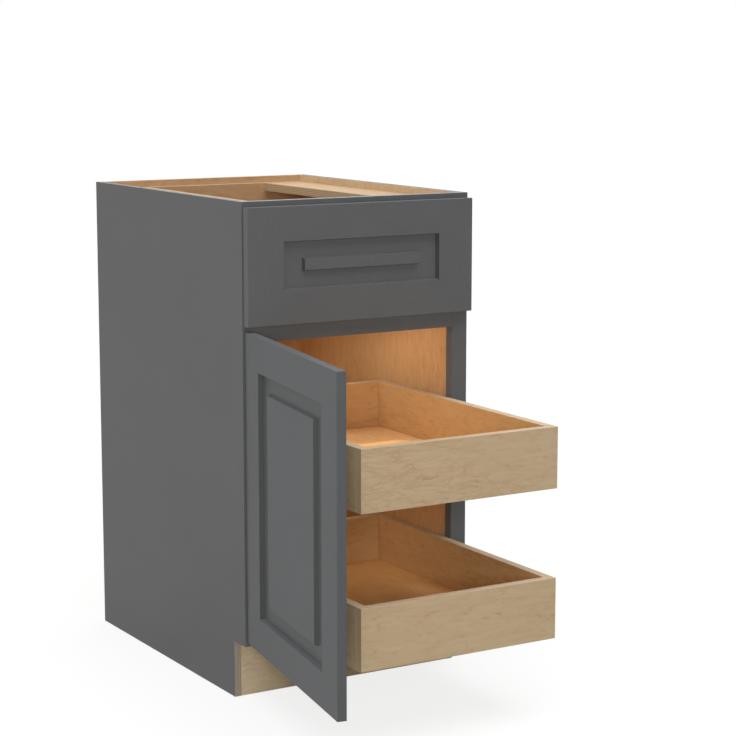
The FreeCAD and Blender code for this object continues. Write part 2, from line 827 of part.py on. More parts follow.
# Assembly
hinge_screws, hinge_holes = hinge_arms_and_plates()
face_frame(hinge_holes)
door()
drawer_front()
open_box("drawer_box", "front_back", "drawer_box_rear", "drawer_base", "drawer_box_height", drawer_screws())
open_box("upper_tray", "tray_front", "tray_rear", "upper_base", "tray_height")
open_box("lower_tray", "tray_front", "tray_rear", "lower_base", "tray_height")
knife_insert()

mounting_screws = []
long_screws = []
panel_holes = []
for run_prefix, run_base, run_pull in (
    ("drawer", "drawer_base", "0"),
    ("upper_tray", "upper_base", "tray_pull"),
    ("lower_tray", "lower_base", "tray_pull"),
):
    short, long, side_holes = slides(run_prefix, run_base, run_pull)
    mounting_screws += short
    long_screws += long
    panel_holes += side_holes
carcass(panel_holes)
both = [mirror(item.Name + "_right", item) for item in mounting_screws]
node("mounting_screws", group("mounting_screws", mounting_screws + both + hinge_screws))
pair("cleat_screws", group("cleat_screws_left", long_screws))

doc.recompute()
faults = [item.Name for item in doc.Objects if "Invalid" in item.State or "Error" in item.State]
for item in nodes:
    if item.Shape.isNull() or not item.Shape.isValid() or not item.Shape.Solids:
        faults.append(item.Label)
if faults:
    raise RuntimeError("these objects failed: " + ", ".join(faults))

os.makedirs("parts", exist_ok=True)
for item in nodes:
    item.Shape.exportStep(f"parts/{item.Label}.step")
print(len(nodes), "nodes,", sum(len(item.Shape.Solids) for item in nodes), "solids")
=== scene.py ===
import json
import math
import bpy
import bmesh
from mathutils import Matrix, Vector


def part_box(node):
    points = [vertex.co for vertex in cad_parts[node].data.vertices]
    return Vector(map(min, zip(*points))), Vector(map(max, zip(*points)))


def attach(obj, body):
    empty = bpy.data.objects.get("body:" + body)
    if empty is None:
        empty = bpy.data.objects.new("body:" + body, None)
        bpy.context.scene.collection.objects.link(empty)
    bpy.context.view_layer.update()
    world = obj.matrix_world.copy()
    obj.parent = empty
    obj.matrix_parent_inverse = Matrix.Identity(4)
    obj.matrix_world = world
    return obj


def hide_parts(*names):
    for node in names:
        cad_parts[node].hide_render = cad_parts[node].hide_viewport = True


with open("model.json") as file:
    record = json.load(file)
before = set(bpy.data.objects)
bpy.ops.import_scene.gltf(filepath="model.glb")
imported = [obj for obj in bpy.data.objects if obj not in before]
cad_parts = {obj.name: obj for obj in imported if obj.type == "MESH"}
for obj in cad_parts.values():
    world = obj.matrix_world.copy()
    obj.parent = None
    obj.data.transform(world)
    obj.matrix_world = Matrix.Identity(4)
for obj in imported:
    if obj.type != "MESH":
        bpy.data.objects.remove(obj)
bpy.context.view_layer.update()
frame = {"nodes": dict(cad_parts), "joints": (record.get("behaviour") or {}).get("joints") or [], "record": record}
print("cabinet loaded:", len(frame["nodes"]), "parts")

# the door hangs on this line, turned this far from shut
doorPin = Vector(next(j["pos_m"] for j in frame["joints"] if j["name"] == "door_hinge"))
doorAngle = math.radians(100)
shutDoor = Matrix.Translation(doorPin) @ Matrix.Rotation(doorAngle, 4, "Z") @ Matrix.Translation(-doorPin)


def newMaterial(name):
    material = bpy.data.materials.new(name)
    material.use_nodes = True
    tree = material.node_tree
    return material, tree, tree.nodes["Principled BSDF"]


def feed(tree, node, inputs):
    # an output of another node is linked, and a plain number or colour is set
    for socket, source in inputs.items():
        if isinstance(source, bpy.types.NodeSocket):
            tree.links.new(source, node.inputs[socket])
        else:
            node.inputs[socket].default_value = source


def addNode(tree, kind, output, inputs, **settings):
    # makes a shader node and hands back the output that the next one reads
    node = tree.nodes.new("ShaderNode" + kind)
    for setting, value in settings.items():
        setattr(node, setting, value)
    feed(tree, node, inputs)
    return node.outputs[output]


def coordinates(tree, stretch=(1, 1, 1), shift=(0, 0, 0), turn=0.0):
    place = addNode(tree, "TexCoord", "Object", {})
    return addNode(tree, "Mapping", "Vector", {
        "Vector": place, "Location": shift, "Rotation": (0, 0, turn), "Scale": stretch})


def drawnOut(along, share):
    # a scale for a pattern that runs long in the direction of the grain
    return [share if axis == along else 1.0 for axis in "xyz"]


def noise(tree, place, scale, detail=3.0, roughness=0.55, distortion=0.0):
    return addNode(tree, "TexNoise", "Fac", {
        "Vector": place,
        "Scale": scale,
        "Detail": detail,
        "Roughness": roughness,
        "Distortion": distortion,
    })


def ramp(tree, source, stops):
    colours = addNode(tree, "ValToRGB", "Color", {"Fac": source})
    band = colours.node.color_ramp
    while len(band.elements) < len(stops):
        band.elements.new(0.5)
    for element, (position, colour) in zip(band.elements, stops):
        element.position = position
        element.color = (*colour, 1)
    return colours


def mixColours(tree, share, first, second, blend="MIX"):
    # a colour Mix node has its share in socket 0, its colours in 6 and 7 and its result in 2
    return addNode(tree, "Mix", 2, {0: share, 6: first, 7: second}, data_type="RGBA", blend_type=blend)


def maths(tree, operation, *numbers):
    return addNode(tree, "Math", "Value", dict(enumerate(numbers)), operation=operation)


def between(tree, source, low, high):
    # a share from 0 to 1 becomes a number from low to high
    return addNode(tree, "MapRange", "Result", {"Value": source, "To Min": low, "To Max": high})


def bump(tree, height, strength, distance):
    return addNode(tree, "Bump", "Normal", {"Height": height, "Strength": strength, "Distance": distance})


def tinted(colour, tint):
    return tuple(c * t for c, t in zip(colour, tint))


def dimmed(colour, share):
    return tuple(share * c for c in colour)


def grey(level):
    return (level, level, level)


paint = {
    "face": (0.1475, 0.1515, 0.1550),
    "dark": (0.1365, 0.1400, 0.1435),
    # painted light: the side paint is the face paint made lighter, for surfaces facing the sides
    "sideFace": (0.178, 0.1788, 0.1796),
    "sideDark": (0.166, 0.1668, 0.1676),
    # painted shade: a darker grey for the mouldings' upright slopes and the painted top edges
    "recess": (0.094, 0.095, 0.097),
    "paintedShadeDim": 0.9,
    "rimDim": 0.8,  # painted shade: the door's outer edges a shade darker
    "streakDim": 0.93,
    "streakShare": 0.4,
    "grainLength": 0.12,  # smaller is longer
    "grainBump": 0.05,
    "sprayBump": 0.35,  # beside the grain's own height
    "roughness": (0.41, 0.52),
    "sheen": 0.1,
}


def greyPaint(name, light, dark, turn=0.0, along="z"):
    # sprayed lacquer over wood: a fine spray texture, and a hint of the grain under it
    material, tree, shader = newMaterial(name)
    wide = coordinates(tree, turn=turn)
    grainPlace = coordinates(tree, drawnOut(along, paint["grainLength"]), turn=turn)
    cloud = noise(tree, wide, scale=7, detail=4)
    grain = noise(tree, grainPlace, scale=260, detail=3, roughness=0.6, distortion=0.4)
    spray = noise(tree, wide, scale=1400, detail=2)
    tone = ramp(tree, cloud, [(0.32, dark), (0.68, light)])
    streak = ramp(tree, grain, [(0.3, dimmed(dark, paint["streakDim"])), (0.75, light)])
    height = maths(tree, "MULTIPLY_ADD", spray, paint["sprayBump"], grain)
    feed(tree, shader, {
        "Base Color": mixColours(tree, paint["streakShare"], tone, streak),
        "Roughness": between(tree, grain, *paint["roughness"]),
        "Normal": bump(tree, height, strength=paint["grainBump"], distance=0.001),
        "Specular IOR Level": paint["sheen"],
    })
    return material


maple = {
    "warmth": (1.06, 0.885, 0.66),  # painted warm bounce light, inside the trays and the drawer
    # painted light: the inner faces of the sides and back lighter and warmer, the box floors lighter still
    "panelTint": (1.27, 1.00, 0.74),
    "floorLitTint": (1.45, 1.20, 0.86),
    "topTint": (1.33, 1.36, 1.40),  # painted light from above, inside the sides, above the braces
    # painted light: a tint for the light on the nailer at the top back
    "nailerTint": (1.05, 0.90, 0.82),
    # painted shade: the braces a little darker and warmer
    "braceTint": (0.94, 0.82, 0.67),
    # painted light: the toe board lighter and cooler
    "toeTint": (1.26, 1.34, 1.42),
    "light": (0.655, 0.497, 0.312),
    "middle": (0.605, 0.447, 0.27),
    "dark": (0.51, 0.352, 0.20),
    "fleck": (0.53, 0.30, 0.175),
    "veinDim": 0.86,
    "streakShare": 0.38,
    "streakLength": 0.1,  # smaller is longer, here and in the next three
    "figureLength": 0.32,
    "veinLength": 0.22,
    "fleckLength": 0.36,
    "fleckShift": 3.7,  # keeps the flecks clear of the figure
    "roughness": (0.44, 0.58),
    "sheen": 0.1,
}


def mapleWood(name, along, shift=(0, 0, 0), tint=(1, 1, 1)):
    # pale maple: broad soft figure, fine streaks, thin curling veins in patches and a few reddish flecks
    material, tree, shader = newMaterial(name)
    streakPlace = coordinates(tree, drawnOut(along, maple["streakLength"]), shift)
    figurePlace = coordinates(tree, drawnOut(along, maple["figureLength"]), shift)
    veinPlace = coordinates(tree, drawnOut(along, maple["veinLength"]), shift)
    fleckShift = [s + maple["fleckShift"] for s in shift]
    fleckPlace = coordinates(tree, drawnOut(along, maple["fleckLength"]), fleckShift)
    figure = noise(tree, figurePlace, scale=20, detail=6, roughness=0.62, distortion=1.1)
    streak = noise(tree, streakPlace, scale=150, detail=4, roughness=0.62, distortion=0.5)
    pores = noise(tree, streakPlace, scale=900, detail=2, roughness=0.5)
    vein = noise(tree, veinPlace, scale=66, detail=4, roughness=0.55, distortion=0.9)
    veinPatch = noise(tree, figurePlace, scale=9, detail=2, roughness=0.5)
    fleck = noise(tree, fleckPlace, scale=88, detail=3, roughness=0.55, distortion=0.8)
    light, middle, dark = (tinted(maple[key], tint) for key in ("light", "middle", "dark"))
    base = ramp(tree, figure, [(0.30, middle), (0.46, light), (0.55, middle), (0.66, light), (0.8, dark)])
    lines = ramp(tree, streak, [(0.28, dark), (0.5, middle), (0.72, light)])
    ground = mixColours(tree, maple["streakShare"], base, lines)
    curls = ramp(tree, vein, [(0.45, grey(0)), (0.5, grey(0.47)), (0.535, grey(0))])
    patches = ramp(tree, veinPatch, [(0.38, grey(0.1)), (0.62, grey(1))])
    veinShare = maths(tree, "MULTIPLY", curls, patches)
    veined = mixColours(tree, veinShare, ground, (*dimmed(dark, maple["veinDim"]), 1))
    spots = ramp(tree, fleck, [(0.595, grey(0)), (0.74, grey(0.7))])
    feed(tree, shader, {
        "Base Color": mixColours(tree, spots, veined, (*tinted(maple["fleck"], tint), 1)),
        "Roughness": between(tree, streak, *maple["roughness"]),
        "Normal": bump(tree, pores, strength=0.12, distance=0.0004),
        "Specular IOR Level": maple["sheen"],
    })
    return material


plyEdging = {
    "light": (0.72, 0.55, 0.36),
    "dark": (0.53, 0.385, 0.24),
    "bare": (1, 1, 1),
    # the sawn edges of painted boards, darker and greyer
    "sprayed": (0.68, 0.76, 0.92),
    "fibreShade": (0.8, 0.78, 0.75),
    "fibreShare": 0.7,
    "wobble": 0.12,
    "roughness": 0.68,
}


def plyEdge(name, across, start, end, plies, tint):
    # the sawn edge of plywood: thin plies, every second one end grain and darker
    material, tree, shader = newMaterial(name)
    place = coordinates(tree)
    depth = addNode(tree, "SeparateXYZ", across.upper(), {"Vector": place})
    count = addNode(tree, "MapRange", "Result", {
        "Value": depth, "From Min": start, "From Max": end, "To Min": 0, "To Max": plies / 2}, clamp=False)
    wobble = noise(tree, place, scale=60, detail=3)
    stripe = maths(tree, "FRACT", maths(tree, "MULTIPLY_ADD", wobble, plyEdging["wobble"], count))
    light, dark = (tinted(plyEdging[key], tint) for key in ("light", "dark"))
    bands = ramp(tree, stripe, [(0.0, light), (0.46, light), (0.54, dark), (0.94, dark), (1.0, light)])
    fibre = noise(tree, place, scale=420, detail=3, roughness=0.6)
    shade = ramp(tree, fibre, [(0.3, plyEdging["fibreShade"]), (0.7, (1, 1, 1))])
    feed(tree, shader, {
        "Base Color": mixColours(tree, plyEdging["fibreShare"], bands, shade, "MULTIPLY"),
        "Roughness": plyEdging["roughness"],
        "Normal": bump(tree, fibre, strength=0.2, distance=0.0003),
    })
    return material


steel = {
    "colour": (0.60, 0.61, 0.62),
    "dull": (0.46, 0.47, 0.485),
    "rolledLength": 0.04,
    "roughness": (0.26, 0.48),
}


def zincSteel(name, along):
    # zinc plate, rolled along the part, with faint cloudy patches
    material, tree, shader = newMaterial(name)
    rolledPlace = coordinates(tree, drawnOut(along, steel["rolledLength"]))
    rolled = noise(tree, rolledPlace, scale=700, detail=3, roughness=0.6)
    patches = noise(tree, coordinates(tree), scale=90, detail=4, roughness=0.6, distortion=0.5)
    feed(tree, shader, {
        "Base Color": ramp(tree, patches, [(0.35, steel["dull"]), (0.65, steel["colour"])]),
        "Metallic": 1.0,
        "Roughness": between(tree, rolled, *steel["roughness"]),
        "Normal": bump(tree, rolled, strength=0.06, distance=0.0003),
    })
    return material


softPad = {"cloudy": (0.50, 0.50, 0.49), "clear": (0.64, 0.64, 0.62), "roughness": 0.35}


def softRubber(name):
    # clear soft stop pads, slightly cloudy
    material, tree, shader = newMaterial(name)
    haze = noise(tree, coordinates(tree), scale=500, detail=3)
    feed(tree, shader, {
        "Base Color": ramp(tree, haze, [(0.3, softPad["cloudy"]), (0.7, softPad["clear"])]),
        "Roughness": softPad["roughness"],
        "Normal": bump(tree, haze, strength=0.08, distance=0.0002),
    })
    return material


paintUp = greyPaint("GreyPaintUpright", paint["face"], paint["dark"])
paintAcross = greyPaint("GreyPaintAcross", paint["face"], paint["dark"], along="x")
# painted light: a lighter grey for the sides, the stiles' outer edges and the drawer front's side edges
sideLitPaint = greyPaint("GreyPaintSideLit", paint["sideFace"], paint["sideDark"])
doorUp = greyPaint("DoorPaintUpright", paint["face"], paint["dark"], doorAngle)
doorAcross = greyPaint("DoorPaintAcross", paint["face"], paint["dark"], doorAngle, "x")
# painted shade: the door's edge paint is the face paint dimmed
shadedRimLight, shadedRimDark = (dimmed(paint[key], paint["rimDim"]) for key in ("face", "dark"))
doorShadedRim = greyPaint("DoorPaintRimShaded", shadedRimLight, shadedRimDark, doorAngle)
# painted shade: the darker grey, on the mouldings' upright slopes and the side panels' top edges
shadePaint = greyPaint("GreyPaintShade", paint["recess"], dimmed(paint["recess"], paint["paintedShadeDim"]))
mapleAcross = mapleWood("MapleAcross", "x")
mapleDeep = mapleWood("MapleDeep", "y", (0.4, 0.1, 0.3))
mapleUp = mapleWood("MapleUpright", "z", (0.2, 0.5, 0.1))
# painted light: paler, cooler maple above the braces, for the light from above
litMapleTop = mapleWood("LitMapleTop", "x", (0.3, 0.6, 0.2), maple["topTint"])
# painted light: maple for the back nailer and the back above the braces
litMapleNailer = mapleWood("LitMapleNailer", "x", (0.1, 0.3, 0.6), maple["nailerTint"])
# painted shade: darker, warmer maple for the top braces
shadedMapleBrace = mapleWood("ShadedMapleBrace", "y", (0.5, 0.2, 0.1), maple["braceTint"])
# painted light: lighter, cooler maple for the toe board
litMapleToe = mapleWood("LitMapleToe", "x", (0.7, 0.2, 0.4), maple["toeTint"])
# painted light: lighter, warmer copies of the maple for inner faces, in place of light bouncing inside
bounceLitAcross = mapleWood("BounceLitMapleAcross", "x", (0.1, 0.2, 0.7), maple["warmth"])
bounceLitDeep = mapleWood("BounceLitMapleDeep", "y", (0.6, 0.3, 0.2), maple["warmth"])
bounceLitUp = mapleWood("BounceLitMapleUpright", "z", (0.3, 0.4, 0.5), maple["panelTint"])
litBoxFloor = mapleWood("LitMapleFloor", "y", (0.2, 0.7, 0.3), maple["floorLitTint"])
steelDeep = zincSteel("ZincSteelRolled", "y")
steelUp = zincSteel("ZincSteelPlate", "z")
padRubber = softRubber("SoftPad")
print("materials made:", len(bpy.data.materials))

meshing = {
    "mergeWithin": 1e-6,
    "cutWithin": 1e-7,
    "levelWithin": 1e-5,
    "flatAngle": math.radians(0.5),
    "sharpAngle": math.radians(30),
    "upright": 0.5,  # a face looks up or down when its normal's z is past this
}


def looseCopy(node):
    # a part's own mesh, merged and with its flat faces whole again
    shape = bmesh.new()
    shape.from_mesh(frame["nodes"][node].data)
    bmesh.ops.remove_doubles(shape, verts=shape.verts, dist=meshing["mergeWithin"])
    bmesh.ops.dissolve_limit(shape, angle_limit=meshing["flatAngle"], verts=shape.verts, edges=shape.edges)
    return shape


def easeEdges(shape, width, wanted=None, segments=2):
    # rounds the outward corners that are sharp, or only the wanted ones among them
    edges = [edge for edge in shape.edges
             if len(edge.link_faces) == 2 and edge.calc_face_angle() > meshing["sharpAngle"]
             and edge.is_convex and (wanted is None or wanted(edge))]
    bmesh.ops.bevel(shape, geom=edges, offset=width, segments=segments, affect="EDGES", profile=0.5,
                    material=-1, clamp_overlap=True)


def finishPiece(shape, name, body, nodes, materials):
    mesh = bpy.data.meshes.new(name)
    shape.to_mesh(mesh)
    shape.free()
    for material in materials:
        mesh.materials.append(material)
    piece = bpy.data.objects.new(name, mesh)
    bpy.context.scene.collection.objects.link(piece)
    for face in mesh.polygons:
        face.use_smooth = False
    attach(piece, body)
    if nodes:
        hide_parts(*nodes)


def bodyOf(node):
    return next(body for body, nodes in frame["record"]["behaviour"]["bodies"].items() if node in nodes)


def finishNode(shape, node, kind, materials):
    # the shape takes the place of one node, and is named for it
    words = node.split("_")
    name = words[0] + "".join(word.capitalize() for word in words[1:]) + kind
    finishPiece(shape, name, bodyOf(node), [node], materials)


plyEdges = {}


def plyEdgeFor(node, across, plies, tint):
    # boards between the same two planes share one ply pattern
    start, end = (corner["xyz".index(across)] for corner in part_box(node))
    planes = (across, round(start, 4), round(end, 4))
    if planes not in plyEdges:
        plyEdges[planes] = plyEdge("PlyEdge" + str(len(plyEdges) + 1), across, start, end, plies, tint)
    return plyEdges[planes]


boards = {
    "ease": 0.0005,
    "plies": 9,
    "trayEase": 0.0006,
    "trayPlies": 11,
    "trayBottomEase": 0.0003,
    "trayBottomPlies": 5,
    "insertEase": 0.0004,
    "insertPlies": 3,
    "facing": 0.8,  # a face looks out of the veneer when its normal is past this
    "paleAbove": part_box("right_top_brace")[1][2],
}


def plyBoard(node, across, veneer, outside=None, plies=boards["plies"], ease=boards["ease"], painted=False,
             pale=None):
    # a plywood part, with veneer on its two faces and plies on its edges; outside is one side and its own
    # finish, a painted board has its top edge in a darker grey, painted shade, and its other edges greyer,
    # and pale is the veneer above the braces, with painted light of its own in place of the painted warm
    # bounce light below
    shape = looseCopy(node)
    if pale:
        parts = shape.verts[:] + shape.edges[:] + shape.faces[:]
        bmesh.ops.bisect_plane(shape, geom=parts, dist=meshing["cutWithin"],
                               plane_co=(0, 0, boards["paleAbove"]), plane_no=(0, 0, 1))
    easeEdges(shape, ease)
    edge = plyEdgeFor(node, across, plies, plyEdging["sprayed" if painted else "bare"])
    finishes = {"veneer": veneer, "edge": edge}
    if outside:
        side, coat = outside
        finishes["outside"] = coat
    # painted shade: the painted top edge takes the darker grey
    if painted:
        finishes["top"] = shadePaint
    if pale:
        finishes["pale"] = pale
    for face in shape.faces:
        facing = face.normal["xyz".index(across)]
        flat = abs(facing) > boards["facing"]
        finish = "veneer" if flat else "edge"
        if pale and flat and face.calc_center_median().z > boards["paleAbove"]:
            finish = "pale"
        if outside and flat and facing * side > 0:
            finish = "outside"
        if painted and face.normal.z > meshing["upright"]:
            finish = "top"
        face.material_index = list(finishes).index(finish)
    finishNode(shape, node, "Board", finishes.values())


eases = {"wood": 0.0006, "insertRail": 0.0008, "faceFrame": 0.0004, "steel": 0.0002, "pad": 0.0006}


def plainPart(node, material, ease=eases["wood"], segments=2):
    shape = looseCopy(node)
    easeEdges(shape, ease, None, segments)
    finishNode(shape, node, "Part", [material])


def frameStile(node):
    # the outer edge of a frame stile is finished like the side panel beside it, in its lighter grey, painted light
    shape = looseCopy(node)
    easeEdges(shape, eases["faceFrame"])
    outermost = max(abs(vertex.co.x) for vertex in shape.verts) - eases["faceFrame"]
    for face in shape.faces:
        face.material_index = 1 if abs(face.calc_center_median().x) > outermost else 0
    finishNode(shape, node, "Part", [paintUp, sideLitPaint])


screws = {
    "heads": {"mounting_screws": 0.0035, "drawer_front_screws": 0.0035, "cleat_screws": 0.004},  # radius
    "ring": 0.0007,  # left whole around the recess
    "arm": 0.00042,  # half the width of the cross
    "deep": 0.0011,
    "ease": 0.0005,
    "wallSlope": 0.00008,
    "insideRing": 0.9,
    "corners": 12,  # a head's flat has at least as many, all past roundFrom of its radius
    "roundFrom": 0.75,
    "flatShare": 2.2,  # and its area is past this times the radius squared
    "rimAngle": math.radians(60),
}


def cutCross(shape, face):
    # the cross recess for a driver, sunk into a flat round head
    normal = face.normal.copy()
    centre = face.calc_center_median()
    sideways = Vector((0, 0, 1)) if abs(normal.z) < meshing["upright"] else Vector((1, 0, 0))
    arms = (sideways, normal.cross(sideways))
    bmesh.ops.inset_region(shape, faces=[face], thickness=screws["ring"])
    reach = max((vertex.co - centre).length for vertex in face.verts)

    def onHead(part):
        away = part.calc_center_median() - centre
        return abs(away.dot(normal)) < meshing["levelWithin"] and away.length < screws["insideRing"] * reach

    for arm in arms:
        for side in (-1, 1):
            parts = [part for part in shape.faces if onHead(part)]
            # each edge and corner once
            edges = dict.fromkeys(edge for part in parts for edge in part.edges)
            corners = dict.fromkeys(vertex for part in parts for vertex in part.verts)
            bmesh.ops.bisect_plane(shape, geom=[*parts, *edges, *corners], dist=meshing["cutWithin"],
                                   plane_co=centre + side * screws["arm"] * arm, plane_no=arm)
    cross = [part for part in shape.faces if onHead(part)
             and min(abs((part.calc_center_median() - centre).dot(arm)) for arm in arms) < screws["arm"]]
    bmesh.ops.inset_region(shape, faces=cross, thickness=screws["wallSlope"], depth=-screws["deep"])


def drivenScrews(node, headRadius):
    # every screw of the node gets an eased head with a driver recess
    def onHeadRim(edge):
        widest = max(face.calc_area() for face in edge.link_faces)
        isFlat = widest > screws["flatShare"] * headRadius ** 2
        return isFlat and edge.calc_face_angle() > screws["rimAngle"]

    def isHead(face):
        middle = sum((vertex.co for vertex in face.verts), Vector()) / len(face.verts)
        reaches = [(vertex.co - middle).length for vertex in face.verts]
        isRound = len(reaches) >= screws["corners"] and min(reaches) > screws["roundFrom"] * headRadius
        return isRound and max(reaches) < headRadius

    shape = looseCopy(node)
    easeEdges(shape, screws["ease"], onHeadRim)
    heads = [face for face in shape.faces if isHead(face)]
    for face in heads:
        cutCross(shape, face)
    print(node, "heads driven:", len(heads))
    finishNode(shape, node, "Part", [steelUp])


fronts = {
    "ease": 0.0007,
    "rimWidth": 0.01,
    "slopeFrom": -0.985,  # between these two the normal's y is a moulding's
    "slopeTo": -0.2,
    "slopeSideways": 0.2,
    "rimFacing": 0.7,
}


def framedFront(prefix, toShut, stilePaint, railPaint, rimPaint):
    # painted frame and raised panel: outer arrises eased, the mouldings' upright slopes in a darker grey, painted
    # shade, and the outer side edges in the rim paint
    parts = ("left_stile", "right_stile", "bottom_rail", "top_rail", "panel")
    members = {part: prefix + "_" + part for part in parts}
    corners = []
    for node in members.values():
        corners += [toShut @ vertex.co for vertex in frame["nodes"][node].data.vertices]
    low = Vector([min(c[i] for c in corners) for i in range(3)])
    high = Vector([max(c[i] for c in corners) for i in range(3)])

    def onRim(edge):
        for i in (0, 2):
            for limit in (low[i], high[i]):
                if all(abs((toShut @ v.co)[i] - limit) < meshing["levelWithin"] for v in edge.verts):
                    return True
        return False

    turn = toShut.to_3x3()
    rim = fronts["rimWidth"]
    for part, node in members.items():
        shape = looseCopy(node)
        easeEdges(shape, fronts["ease"], onRim)
        for face in shape.faces:
            normal = turn @ face.normal
            middle = toShut @ face.calc_center_median()
            sideways = abs(normal.x)
            inside = all(low[i] + rim < middle[i] < high[i] - rim for i in (0, 2))
            sloping = fronts["slopeFrom"] < normal.y < fronts["slopeTo"]
            atEdge = not low[0] + fronts["ease"] < middle.x < high[0] - fronts["ease"]
            # painted shade on the mouldings' upright slopes
            face.material_index = 1 if inside and sloping and sideways > fronts["slopeSideways"] else 0
            # side edges: painted shade on the door, painted light in the sides' grey on the drawer front
            if atEdge and sideways > fronts["rimFacing"]:
                face.material_index = 2
        facePaint = railPaint if "rail" in part else stilePaint
        finishNode(shape, node, "Part", [facePaint, shadePaint, rimPaint])


# sides: outer faces in the lighter grey, painted light; inner faces in maple with painted warm bounce light
plyBoard("left_side_panel", "x", bounceLitUp, (-1, sideLitPaint), painted=True, pale=litMapleTop)
plyBoard("right_side_panel", "x", bounceLitUp, (1, sideLitPaint), painted=True, pale=litMapleTop)
plyBoard("back_panel", "y", bounceLitUp, (1, mapleUp), pale=litMapleNailer)
plyBoard("bottom_panel", "z", bounceLitDeep, (-1, mapleDeep))
plyBoard("toe_board", "y", litMapleToe)
plyBoard("left_top_brace", "z", shadedMapleBrace)
plyBoard("right_top_brace", "z", shadedMapleBrace)
plyBoard("back_nailer", "y", litMapleNailer)
for node in ("left_stile", "right_stile"):
    frameStile(node)
for node in ("top_rail", "middle_rail", "bottom_rail"):
    plainPart(node, paintAcross, eases["faceFrame"])
for run in ("drawer", "upper_tray", "lower_tray"):
    plainPart(run + "_slide_cleats", mapleDeep)
    for member in ("outer", "middle", "inner"):
        plainPart(run + "_" + member + "_rails", steelDeep, eases["steel"], 1)
print("carcass and slides dressed")

# the drawer front's side edges take the sides' lighter grey, painted light
framedFront("drawer_front", Matrix.Identity(4), paintUp, paintAcross, sideLitPaint)
framedFront("door", shutDoor, doorUp, doorAcross, doorShadedRim)
print("door and drawer front dressed")

# the boxes' inner faces in maple with painted warm bounce light, their floors with painted light
for box in ("drawer_box", "upper_tray", "lower_tray"):
    for part, across, veneer, outside in (("front", "y", bounceLitAcross, (-1, mapleAcross)),
                                          ("back", "y", bounceLitAcross, (1, mapleAcross)),
                                          ("left", "x", bounceLitDeep, (-1, mapleDeep)),
                                          ("right", "x", bounceLitDeep, (1, mapleDeep))):
        plyBoard(box + "_" + part, across, veneer, outside, boards["trayPlies"], boards["trayEase"])
    plyBoard(box + "_bottom", "z", litBoxFloor, (-1, mapleDeep), boards["trayBottomPlies"],
             boards["trayBottomEase"])
plyBoard("insert_base_board", "z", mapleDeep, None, boards["insertPlies"], boards["insertEase"])
plainPart("insert_slats", mapleDeep)
plainPart("insert_rail", mapleAcross, eases["insertRail"])
print("trays, drawer and knife insert dressed")

for node in ("hinge_plates", "hinge_arms", "hinge_cups"):
    plainPart(node, steelUp, eases["steel"], 1)
for node, headRadius in screws["heads"].items():
    drivenScrews(node, headRadius)

# the cups' screw ears, on the back of the door, made with the door shut and swung open with it
cupEars = {
    "fromEdge": 0.0205,  # the cups' centres, from the door's hinge edge
    "cupRadius": 0.0195,
    "spread": 0.0225,  # from a cup's centre up or down to an ear's
    "long": 0.0150,
    "wide": 0.0125,
    "thick": 0.0008,
    "endRadius": 0.006,
    "endSegments": 6,
    "ease": 0.00015,
    "screwRadius": 0.0033,
    "screwTaper": 0.82,
    "screwRise": 0.0005,
    "screwSides": 20,
}


def cupEar(across, back, height, away):
    # one rounded ear with its screw; the flat of the ear faces the cabinet
    shape = bmesh.new()
    bmesh.ops.create_cube(shape, size=1)
    bmesh.ops.scale(shape, vec=(cupEars["wide"], cupEars["thick"], cupEars["long"]), verts=shape.verts)

    def atOuterEnd(edge):
        first, second = (vertex.co for vertex in edge.verts)
        runsThrough = max(abs(first.x - second.x), abs(first.z - second.z)) < meshing["cutWithin"]
        return first.z * away > 0 and second.z * away > 0 and runsThrough

    ends = [edge for edge in shape.edges if atOuterEnd(edge)]
    bmesh.ops.bevel(shape, geom=ends, offset=cupEars["endRadius"], segments=cupEars["endSegments"],
                    affect="EDGES", profile=0.5, material=-1)
    easeEdges(shape, cupEars["ease"], None, 1)
    bmesh.ops.translate(shape, vec=(across, back + cupEars["thick"] / 2, height), verts=shape.verts)
    before = set(shape.verts)
    bmesh.ops.create_cone(shape, cap_ends=True, segments=cupEars["screwSides"],
                          radius1=cupEars["screwRadius"], depth=cupEars["screwRise"],
                          radius2=cupEars["screwTaper"] * cupEars["screwRadius"])
    screw = [vertex for vertex in shape.verts if vertex not in before]
    place = Matrix.Translation((across, back + cupEars["thick"] + cupEars["screwRise"] / 2, height))
    bmesh.ops.transform(shape, matrix=place @ Matrix.Rotation(math.radians(-90), 4, "X"), verts=screw)
    caps = [face for face in shape.faces if len(face.verts) == cupEars["screwSides"]]
    cutCross(shape, max(caps, key=lambda face: face.calc_center_median().y))
    bmesh.ops.transform(shape, matrix=shutDoor.inverted(), verts=shape.verts)
    return shape


doorCorners = [shutDoor @ vertex.co for vertex in frame["nodes"]["door_left_stile"].data.vertices]
doorEdge = min(corner.x for corner in doorCorners)
doorBack = max(corner.y for corner in doorCorners)
lowest, highest = (corner[2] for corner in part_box("hinge_cups"))
allEars = bmesh.new()
for level in (round(lowest + cupEars["cupRadius"], 4), round(highest - cupEars["cupRadius"], 4)):
    for away in (-1, 1):
        ear = cupEar(doorEdge + cupEars["fromEdge"], doorBack, level + away * cupEars["spread"], away)
        earMesh = bpy.data.meshes.new("earStep")
        ear.to_mesh(earMesh)
        ear.free()
        allEars.from_mesh(earMesh)
        bpy.data.meshes.remove(earMesh)
finishPiece(allEars, "hingeCupEars", "door", [], [steelUp])
plainPart("door_bumpers", padRubber, eases["pad"], 3)
print("hardware dressed")

